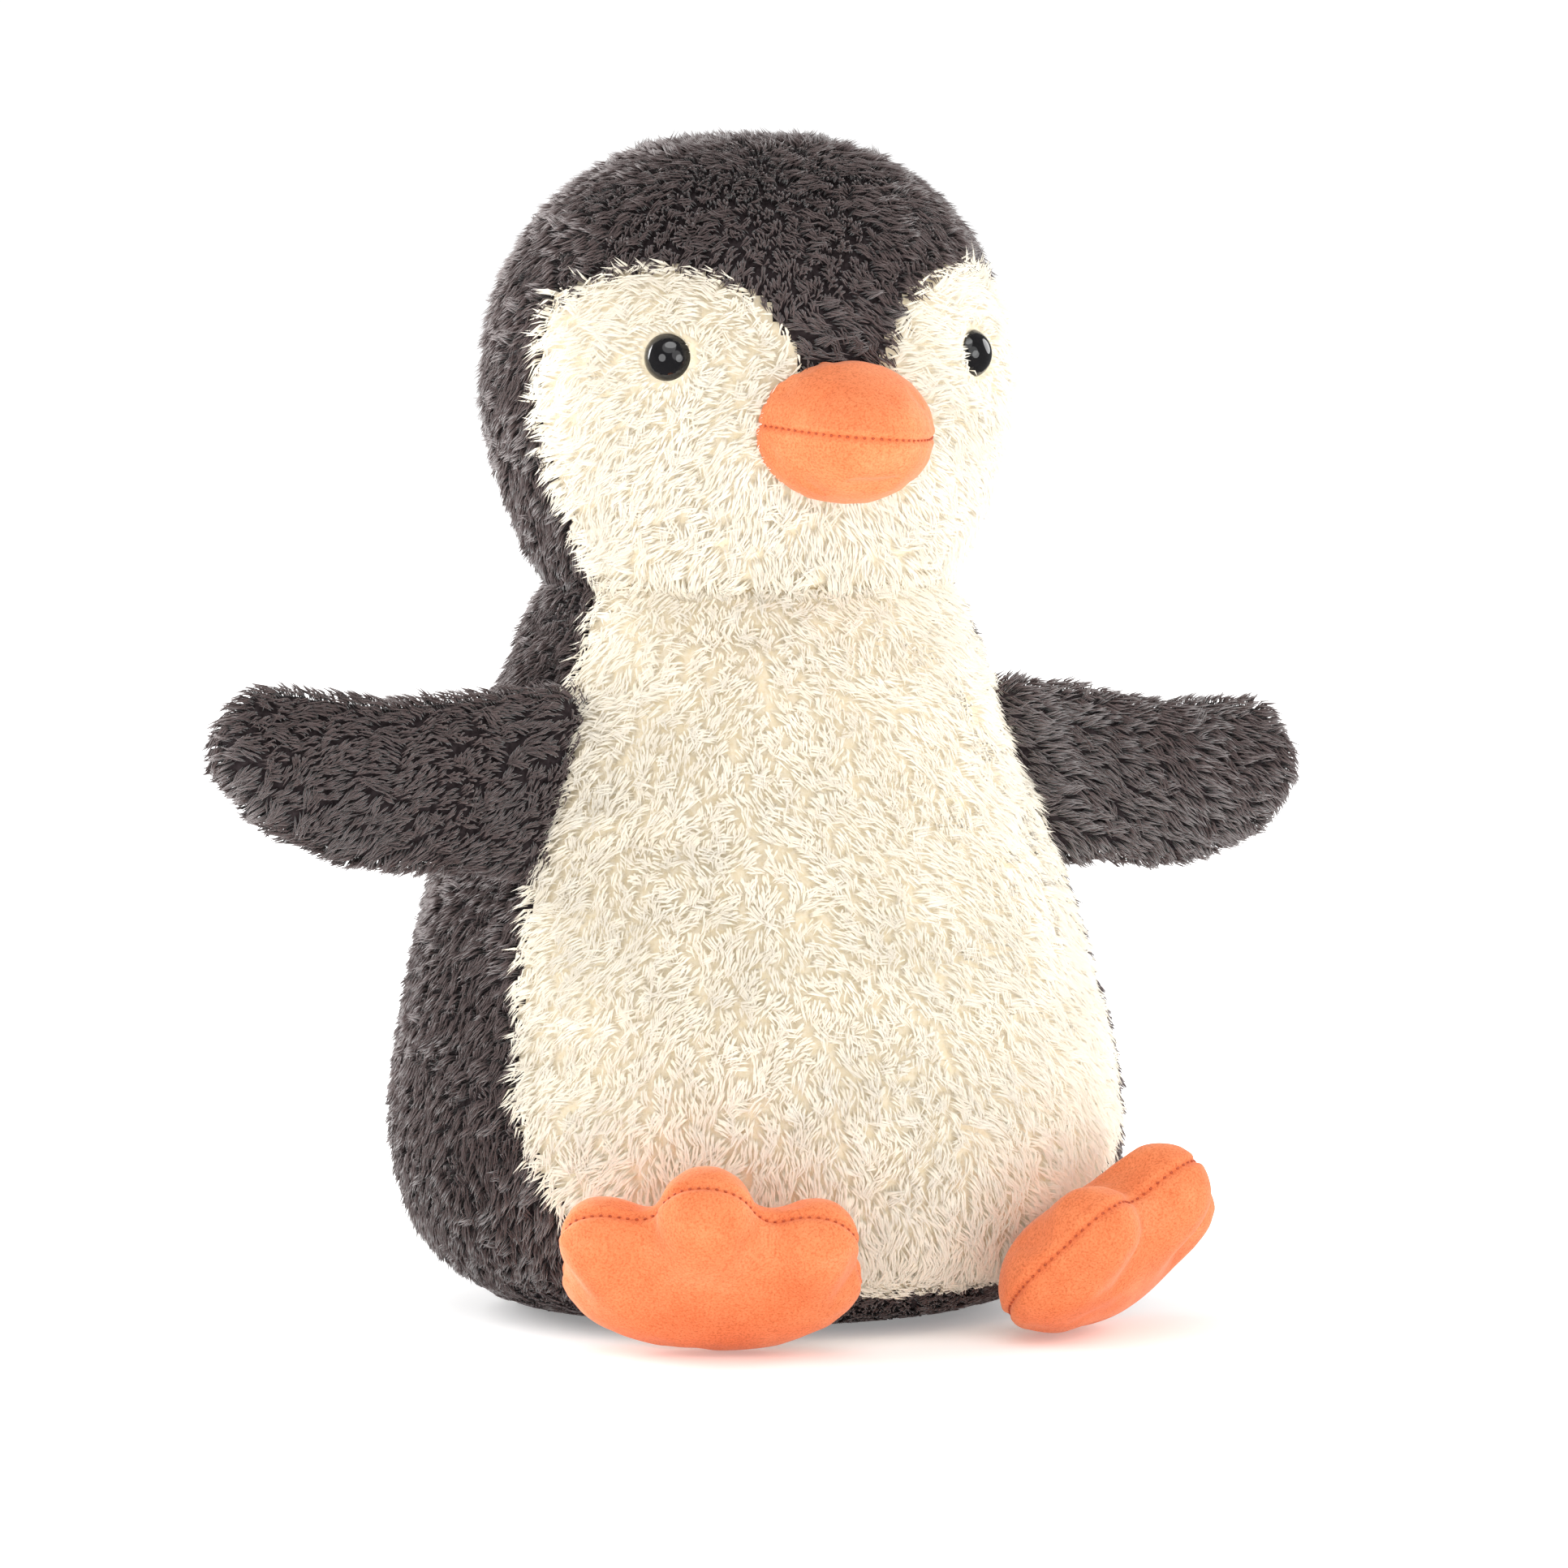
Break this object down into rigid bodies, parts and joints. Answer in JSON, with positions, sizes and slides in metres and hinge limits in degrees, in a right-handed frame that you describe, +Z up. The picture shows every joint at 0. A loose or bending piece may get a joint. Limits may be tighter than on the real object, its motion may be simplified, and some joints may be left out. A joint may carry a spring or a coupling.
{
  "type": "seated plush penguin",
  "caption": "Seated plush penguin with a stuffed pear-shaped body, round head, soft beak, flippers that fold at their seams and padded three-toed feet.",
  "frame": {"origin": "centre of the flat base, on the surface that the toy sits on, under the body axis", "axes": "+Z up along the body axis; the face looks along -Y; +X is the toy's own left"},
  "size_m": [0.3345, 0.2531, 0.3375],
  "materials": {
    "charcoal_pile": "soft long pile, clumped",
    "cream_pile": "soft long pile, clumped",
    "orange_suede": "short brushed nap",
    "stuffing": "loose polyester fibre",
    "pouch_cloth": "plain woven",
    "plastic_beans": "small round beans",
    "eye_gloss": "polished",
    "washer_plastic": "moulded"
  },
  "bodies": {
    "torso": {"belly_panel": "cream_pile", "back_panel_left": "charcoal_pile", "back_panel_right": "charcoal_pile", "base_panel": "charcoal_pile", "body_stuffing": "stuffing", "bean_pouch": "pouch_cloth", "bean_fill": "plastic_beans"},
    "neck": {"neck_stuffing": "stuffing"},
    "head": {"face_panel_left": "cream_pile", "face_panel_right": "cream_pile", "crown_panel_left": "charcoal_pile", "crown_panel_right": "charcoal_pile", "head_stuffing": "stuffing", "beak_upper": "orange_suede", "beak_lower": "orange_suede", "beak_stuffing": "stuffing", "eye_left": "eye_gloss", "eye_right": "eye_gloss", "eye_washer_left": "washer_plastic", "eye_washer_right": "washer_plastic"},
    "flipper_left": {"flipper_left_front": "charcoal_pile", "flipper_left_back": "charcoal_pile", "flipper_left_stuffing": "stuffing"},
    "flipper_right": {"flipper_right_front": "charcoal_pile", "flipper_right_back": "charcoal_pile", "flipper_right_stuffing": "stuffing"},
    "foot_left": {"foot_left_upper": "orange_suede", "foot_left_sole": "orange_suede", "foot_left_stuffing": "stuffing"},
    "foot_right": {"foot_right_upper": "orange_suede", "foot_right_sole": "orange_suede", "foot_right_stuffing": "stuffing"}
  },
  "joints": [
    {"name": "head_turn", "type": "hinge", "parent": "torso", "child": "neck", "pos_m": [0, 0, 0.195], "axis": [0, 0, 1], "range_deg": [-25, 25], "stiffness_Nm_per_rad": 0.35},
    {"name": "head_nod", "type": "hinge", "parent": "neck", "child": "head", "pos_m": [0, 0, 0.195], "axis": [1, 0, 0], "range_deg": [-12, 12], "stiffness_Nm_per_rad": 1.2},
    {"name": "flipper_left_fold", "type": "hinge", "parent": "torso", "child": "flipper_left", "pos_m": [0.07958, -0.02896, 0.158], "axis": [0.3232, -0.1177, -0.939], "range_deg": [-30, 60], "stiffness_Nm_per_rad": 0.12},
    {"name": "flipper_right_fold", "type": "hinge", "parent": "torso", "child": "flipper_right", "pos_m": [-0.07958, -0.02896, 0.158], "axis": [0.3232, 0.1177, 0.939], "range_deg": [-30, 60], "stiffness_Nm_per_rad": 0.12},
    {"name": "foot_left_tilt", "type": "hinge", "parent": "torso", "child": "foot_left", "pos_m": [0.05721, -0.10321, 0.0172], "axis": [-0.7071, -0.7071, 0], "range_deg": [-30, 10], "stiffness_Nm_per_rad": 0.12},
    {"name": "foot_right_tilt", "type": "hinge", "parent": "torso", "child": "foot_right", "pos_m": [-0.05265, -0.1056, 0.0172], "axis": [-0.8988, 0.4384, 0], "range_deg": [-30, 10], "stiffness_Nm_per_rad": 0.12}
  ]
}
